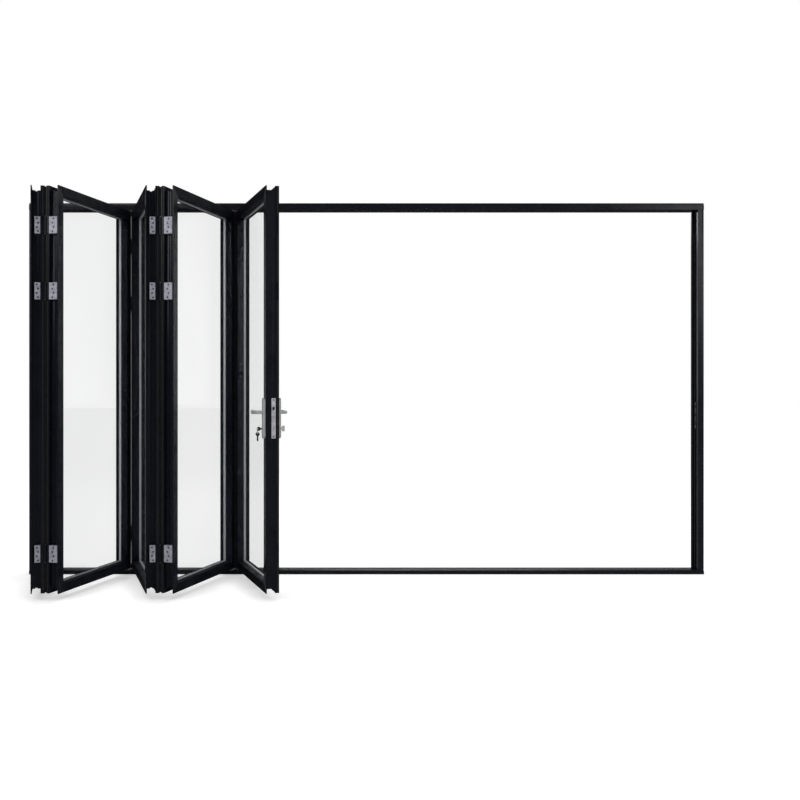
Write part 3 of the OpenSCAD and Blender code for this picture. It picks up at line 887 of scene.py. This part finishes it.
@dataclass
class TrackGear:
    """What carries and guides the leaves: carriers on wheels in the head, guides in the sill."""

    ease: float = 0.5 * MM

    def build(self) -> None:
        """Dresses the carriers, wheels and guides."""
        eased("track_carriers", DARK_STEEL, self.ease)
        eased("carrier_wheels", NYLON, self.ease)
        eased("sill_guides", DARK_STEEL, self.ease)


@dataclass
class LeverLock:
    """The lock of the free leaf: case, faceplate, bolts, long plates, two levers, cylinder and keys."""

    spot: LeafSpot
    neck: float = 9 * MM
    grip_high: float = 10 * MM
    grip_thin: float = 7.2 * MM
    grip_out: float = 44 * MM
    grip_length: float = 112 * MM
    elbow: float = 15 * MM
    collar: float = 13.5 * MM
    collar_height: float = 2.6 * MM
    screw: Screw = Screw(radius=3.8 * MM, height=0.8 * MM, socket=1.8 * MM)
    face_screw_in: float = 9 * MM
    plate_screw_in: float = 14 * MM
    nose_heights: tuple[float, ...] = (-30 * MM, -75 * MM)
    nose_size: tuple[float, float] = (10 * MM, 18 * MM)
    # width of the dark plate that paints the shade of each bolt slot, past its nose
    slot_shade_margin: float = 1.5 * MM
    nose_proud: float = 0.8 * MM

    def __post_init__(self) -> None:
        """Reads the lever's axis and the plates from the frame."""
        low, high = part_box("lever_spindle")
        self.axis = self.spot.local((np.array(low) + np.array(high)) / 2)
        plates = self.spot.local(node_points("handle_backplates"))
        self.plate_out = float(-plates[:, 1].min())
        self.plate_low, self.plate_high = float(plates[:, 2].min()), float(plates[:, 2].max())

    def build(self) -> None:
        """Dresses the lock and adds the levers, collars, screws and bolt noses."""
        eased("lock_stile_infill", LEAF_COAT, 0.5 * MM)
        eased("lock_faceplate", FACEPLATE, 0.5 * MM)
        eased("latch_bolt", DARK_STEEL, 0.5 * MM, Body.LATCH)
        eased("handle_backplates", SATIN, 2.0 * MM, steps=4)
        eased("lock_cylinder", BRASS, 0.5 * MM)
        eased("door_keys", DARK_STEEL, 0.4 * MM)
        dress_node("lock_case", STEEL)
        dress_node("lever_spindle", STEEL)
        for side, node in ((-1, "lever_outdoor"), (1, "lever_indoor")):
            lever = self.lever(node, side)
            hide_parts(node)
            dress(lever, SATIN, Body.LEVERS)
        dress(self.collars(), SATIN, Body.FRAME)
        dress(self.screws(), STEEL, Body.FRAME)
        dress(self.bolt_noses(), FACEPLATE, Body.FRAME)
        # dark plates round the bolt noses paint the shade inside their slots
        dress(self.slot_shade_plates(), DARK_STEEL, Body.FRAME)

    def face(self, side: int) -> float:
        """Distance of the outdoor face, side -1, or the indoor face, side 1, from the outdoor face."""
        return 0.0 if side < 0 else self.spot.thickness

    def lever(self, node: str, side: int) -> bpy.types.Object:
        """One lever: a neck straight out, a quarter-circle elbow, and an oval grip with a round end.

        Along the grip the ring's radii go evenly from the neck's to the grip's, and over the last
        stretch they shrink as the square root of one minus the square of the way to the tip.

        Args:
            node: The CAD node that it stands for.
            side: -1 outdoors, 1 indoors.

        Returns:
            The piece.
        """
        run = self.grip_length - self.grip_thin
        turn = np.linspace(0.0, math.pi / 2, 13)
        neck_y = np.linspace(self.plate_out - 2 * MM, self.grip_out - self.elbow, 4)
        bend_x = self.elbow * (1 - np.cos(turn))[1:]
        bend_y = self.grip_out - self.elbow + (self.elbow * np.sin(turn))[1:]
        tip = np.sin(np.linspace(0.0, math.pi / 2, 9))[1:]
        grip_x = np.concatenate([np.linspace(self.elbow, run, 12)[1:], run + self.grip_thin * tip])
        back = np.concatenate([np.zeros(len(neck_y)), bend_x, grip_x])
        out = np.concatenate([neck_y, bend_y, np.full(len(grip_x), self.grip_out)])
        share = np.clip((back - self.elbow) / (run - self.elbow), 0.0, 1.0)
        radii = np.stack([
            self.neck + (self.grip_high - self.neck) * share,
            self.neck + (self.grip_thin - self.neck) * share,
        ], axis=-1)
        radii[-len(tip):] *= np.sqrt(np.clip(1 - tip ** 2, 0.0004, 1.0))[:, None]
        level = np.full(len(back), self.axis[2])
        path = np.stack([self.axis[0] - back, self.face(side) + side * out, level], axis=-1)
        stock = Stock()
        stock.tube(self.spot.place.at(path), np.tile(UP, (len(path), 1)), radii, 32)
        return stock.build(f"{node}_grip")

    def collars(self) -> bpy.types.Object:
        """A turned collar round each lever's neck, on the plate."""
        stock = Stock()
        high, edge = self.collar_height, self.collar
        inner = self.neck + 0.3 * MM
        profile = np.array([
            [inner, 0.0], [edge, 0.0], [edge, high * 0.5], [edge - 0.5 * MM, high * 0.85],
            [edge - 1.4 * MM, high], [inner + 0.6 * MM, high], [inner, high * 0.8],
        ])
        for side in (-1, 1):
            start = (self.axis[0], self.face(side) + side * self.plate_out, self.axis[2])
            stock.lathe(self.spot.place.facing(start, (0, side, 0), (0, 0, 1)), profile, 48)
        return stock.build("lever_collars")

    def screws(self) -> bpy.types.Object:
        """Two screws in the faceplate and two through the indoor plate."""
        stock = Stock()
        face = self.spot.local(node_points("lock_faceplate"))
        inward = float(face[:, 1].mean())
        for height in (face[:, 2].min() + self.face_screw_in, face[:, 2].max() - self.face_screw_in):
            self.screw.add(stock, self.spot.edge(True, inward, height))
        outside = self.spot.thickness + self.plate_out
        for height in (self.plate_low + self.plate_screw_in, self.plate_high - self.plate_screw_in):
            place = self.spot.place.facing((self.axis[0], outside, height), (0, 1, 0), (0, 0, 1))
            self.screw.add(stock, place)
        return stock.build("lock_screws")

    def bolt_noses(self) -> bpy.types.Object:
        """The ends of the hook and the deadbolt, withdrawn flush in the faceplate."""
        stock = Stock()
        for height in self.nose_heights:
            place = self.spot.edge(True, self.axis[1], self.axis[2] + height)
            stock.bar(place, oblong(*self.nose_size), 0.0, self.nose_proud)
        return stock.build("hook_and_deadbolt_noses")

    def slot_shade_plates(self) -> bpy.types.Object:
        """Painted shade of the slots round the noses: low dark steel plates that show past them, where the slots
        would lie in shade.
        """
        stock = Stock()
        width, height = (size + 2 * self.slot_shade_margin for size in self.nose_size)
        for level in self.nose_heights:
            place = self.spot.edge(True, self.axis[1], self.axis[2] + level)
            stock.bar(place, oblong(width, height), 0.0, self.nose_proud / 4)
        return stock.build("bolt_slot_painted_shade")


@dataclass(frozen=True)
class SoftBox:
    """One soft lamp: where it hangs, what it faces, how large it is and how strong."""

    name: str
    place: tuple[float, float, float]
    aim: tuple[float, float, float]
    size: tuple[float, float]
    watts: float

    def build(self) -> None:
        """Adds the lamp."""
        lamp = bpy.data.lights.new(self.name, "AREA")
        lamp.shape = "RECTANGLE"
        lamp.size, lamp.size_y = self.size
        lamp.energy = self.watts
        made = bpy.data.objects.new(self.name, lamp)
        place = np.array(self.place)
        made.location = self.place
        made.rotation_euler = Vector(np.array(self.aim) - place).to_track_quat("-Z", "Y").to_euler()
        bpy.context.scene.collection.objects.link(made)


@dataclass
class Studio:
    """A pale floor, a white background, soft light and the photograph's camera."""

    camera_place: tuple[float, float, float] = (-0.1327, -5.767, 1.0775)
    focal: float = 43.48
    shift: tuple[float, float] = (0.0699, -0.0094)
    floor_size: float = 120.0
    floor_white: float = 0.90
    floor_mirrored: float = 0.25
    floor_glow: float = 0.37
    floor_through_glass: float = 0.76
    sky_light: float = 0.75
    dim_sides: tuple[tuple[str, float, float, float], ...] = (
        ("Y", -0.75, -0.25, 0.12), ("X", -0.50, -0.20, 0.30), ("Z", 0.22, 0.10, 0.12),
    )
    lamps: tuple[SoftBox, ...] = (
        SoftBox("left_soft_box", (-4.5, -4.5, 3.6), (-1.0, 0.0, 1.0), (2.4, 2.4), 70.0),
        SoftBox("right_soft_box", (4.5, -5.0, 3.2), (0.0, 0.0, 1.0), (2.4, 2.4), 60.0),
        SoftBox("back_soft_box", (1.0, 5.0, 3.8), (0.0, 0.0, 1.0), (3.0, 2.0), 60.0),
    )

    def build(self) -> None:
        """Builds the studio."""
        self.build_camera()
        self.build_floor()
        self.build_sky()
        for lamp in self.lamps:
            lamp.build()
        bpy.context.scene.view_settings.view_transform = "Standard"

    def build_camera(self) -> None:
        """Adds the camera: level, square to the door, shifted as the photograph is framed."""
        lens = bpy.data.cameras.new("photo_camera")
        lens.lens = self.focal
        lens.shift_x, lens.shift_y = self.shift
        lens.clip_start, lens.clip_end = 0.05, 200.0
        made = bpy.data.objects.new("photo_camera", lens)
        made.location = self.camera_place
        made.rotation_euler = (math.pi / 2, 0.0, 0.0)
        bpy.context.scene.collection.objects.link(made)
        bpy.context.scene.camera = made

    def build_floor(self) -> None:
        """Adds the floor: it glows a little for the camera, so that only shadows show, and is dim in mirrors."""
        recipe = Recipe("pale_floor")
        recipe.set(Roughness=0.85, Specular_IOR_Level=0.1, Emission_Color=(1.0, 1.0, 1.0, 1.0))
        path = recipe.node("ShaderNodeLightPath").outputs
        mirrored = recipe.spread(path["Is Glossy Ray"], self.floor_white, self.floor_mirrored, 0.0, 1.0)
        recipe.link(mirrored, recipe.shader.inputs["Base Color"])
        unbounced = self.joined(recipe.tree, "SUBTRACT", path["Is Transmission Ray"], path["Glossy Depth"])
        glassed = recipe.spread(unbounced, 0.0, self.floor_through_glass, 0.0, 1.0)
        glow = self.between(recipe.tree, path["Is Camera Ray"], glassed, self.floor_glow)
        recipe.link(glow, recipe.shader.inputs["Emission Strength"])
        half = self.floor_size / 2
        corners = [(-half, -half, 0), (half, -half, 0), (half, half, 0), (-half, half, 0)]
        mesh = bpy.data.meshes.new("studio_floor")
        mesh.from_pydata(corners, [], [(0, 1, 2, 3)])
        floor = link_object("studio_floor", mesh)
        floor.data.materials.append(recipe.material)

    def build_sky(self) -> None:
        """White for the camera and through glass, a plain light from all round for the rest.

        Mirror rays see it white times a dimming for each of dim_sides: one axis of the ray's
        direction, where the dimming is full, where it ends, and what it leaves.
        """
        world = bpy.data.worlds.new("white_surround")
        bpy.context.scene.world = world
        world.use_nodes = True
        tree = world.node_tree
        sky = tree.nodes["Background"]
        sky.inputs["Color"].default_value = (1.0, 1.0, 1.0, 1.0)
        path = tree.nodes.new("ShaderNodeLightPath").outputs
        split = tree.nodes.new("ShaderNodeSeparateXYZ")
        tree.links.new(tree.nodes.new("ShaderNodeTexCoord").outputs["Generated"], split.inputs["Vector"])
        seen = None
        for axis, full, none, share in self.dim_sides:
            dimmed = self.between(tree, split.outputs[axis], share, 1.0, full, none)
            seen = dimmed if seen is None else self.joined(tree, "MULTIPLY", seen, dimmed)
        mirrored = self.between(tree, path["Is Glossy Ray"], self.sky_light, seen)
        glassed = self.joined(tree, "SUBTRACT", path["Is Transmission Ray"], path["Glossy Depth"])
        straight = self.joined(tree, "MAXIMUM", path["Is Camera Ray"], glassed)
        tree.links.new(self.between(tree, straight, mirrored, 1.0), sky.inputs["Strength"])

    @staticmethod
    def between(
        tree: bpy.types.NodeTree, source: bpy.types.NodeSocket, low: float | bpy.types.NodeSocket,
        high: float | bpy.types.NodeSocket, start: float = 0.0, stop: float = 1.0,
    ) -> bpy.types.NodeSocket:
        """Low where the value is start, high where it is stop, and evenly between.

        Args:
            tree: The node tree.
            source: The value.
            low: Result at start, a number or a socket.
            high: Result at stop, a number or a socket.
            start: Value that gives low.
            stop: Value that gives high.

        Returns:
            The result's socket.
        """
        ranged = tree.nodes.new("ShaderNodeMapRange")
        tree.links.new(source, ranged.inputs["Value"])
        for key, value in zip(("From Min", "From Max", "To Min", "To Max"), (start, stop, low, high)):
            if isinstance(value, float):
                ranged.inputs[key].default_value = value
            else:
                tree.links.new(value, ranged.inputs[key])
        return ranged.outputs["Result"]

    @staticmethod
    def joined(
        tree: bpy.types.NodeTree, operation: str, first: bpy.types.NodeSocket, second: bpy.types.NodeSocket
    ) -> bpy.types.NodeSocket:
        """Two values joined by a math operation."""
        joint = tree.nodes.new("ShaderNodeMath")
        joint.operation = operation
        tree.links.new(first, joint.inputs[0])
        tree.links.new(second, joint.inputs[1])
        return joint.outputs["Value"]


def main() -> None:
    """Builds the studio and dresses the door, assembly by assembly."""
    logging.basicConfig(level=logging.INFO, format="%(name)s %(message)s")
    Studio().build()
    spots = [LeafSpot(number) for number in range(1, LEAF_COUNT + 1)]
    levels = np.unique(np.round(node_points("hinge_plates")[:, 2], 4))
    OuterFrame().build()
    for spot in spots:
        GlassLeaf(spot, levels).build()
    HingeSet(spots, levels).build()
    TrackGear().build()
    LeverLock(spots[-1]).build()
    dress_node("glass_spacers", SPACER)
    dress_node("glazing_gaskets", RUBBER)


if __name__ == "__main__":
    main()
